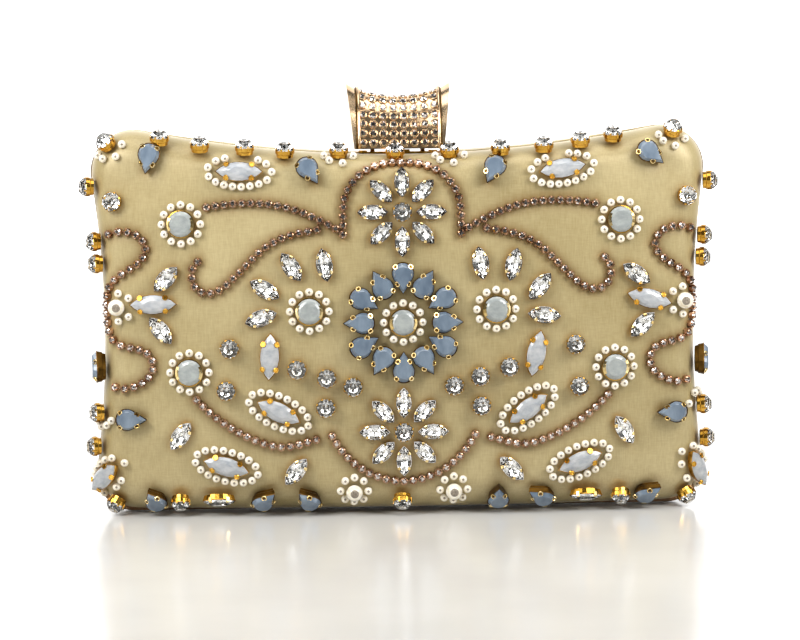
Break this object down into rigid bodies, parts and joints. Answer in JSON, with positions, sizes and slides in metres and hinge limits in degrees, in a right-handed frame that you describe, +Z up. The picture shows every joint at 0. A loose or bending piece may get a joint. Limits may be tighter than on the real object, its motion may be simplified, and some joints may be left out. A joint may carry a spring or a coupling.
{
  "type": "evening bag",
  "caption": "Hard box clutch with two padded satin pans in metal rims, hinged below, with sewn stones, pearls and cup chain on the front and a saddle clasp on top.",
  "frame": {"origin": "middle of the bag's box on the surface that it stands on", "axes": "+X along the bag's length to its right, +Z up to the clasp, -Y out of the decorated front"},
  "size_m": [0.2176, 0.0529, 0.1455],
  "materials": {
    "satin": "satin weave over foam",
    "lining": "matte twill",
    "foam": "open foam",
    "board": "moulded shell",
    "gold": "polished, gold plated",
    "rose_gold": "polished, rose gold plated",
    "steel": "drawn",
    "crystal": "foil backed, cut",
    "blue_stone": "foil backed, slate blue, cut",
    "opal": "milky, polished",
    "pearl": "pearl coating"
  },
  "bodies": {
    "rear_half": {"rear_frame": "gold", "rear_shell": "board", "rear_padding": "foam", "rear_cover": "satin", "rear_lining": "lining", "hinge_leaf_rear_left": "gold", "hinge_leaf_rear_right": "gold", "hinge_pin_left": "steel", "hinge_pin_right": "steel", "clasp_bracket": "gold", "clasp_bracket_rivets": "gold", "clasp_pivot_pin": "steel", "clasp_spring": "steel"},
    "front_half": {"front_frame": "gold", "front_shell": "board", "front_padding": "foam", "front_cover": "satin", "front_lining": "lining", "hinge_leaf_front_left": "gold", "hinge_leaf_front_right": "gold", "catch_plate": "gold", "catch_rivets": "gold", "round_crystals": "crystal", "round_crystal_cups": "gold", "marquise_crystals": "crystal", "marquise_cups": "gold", "pear_stones": "blue_stone", "pear_cups": "gold", "round_opals": "opal", "round_opal_cups": "gold", "navette_opals": "opal", "navette_opal_cups": "gold", "small_pearls": "pearl", "large_pearls": "pearl", "chain_cups": "rose_gold", "chain_crystals": "crystal", "foot_crystals": "crystal"},
    "clasp": {"clasp_saddle": "rose_gold", "clasp_end_left": "rose_gold", "clasp_end_right": "rose_gold", "clasp_stones": "crystal", "clasp_hook": "rose_gold"}
  },
  "joints": [
    {"name": "bag_opening", "type": "hinge", "parent": "rear_half", "child": "front_half", "pos_m": [0, 0.0026, 0.0016], "axis": [1, 0, 0], "range_deg": [0, 88]},
    {"name": "clasp_tilt", "type": "hinge", "parent": "rear_half", "child": "clasp", "pos_m": [0, 0.0082, 0.127], "axis": [-1, 0, 0], "range_deg": [0, 26], "stiffness_Nm_per_rad": 0.02, "springref_deg": -11.46}
  ]
}
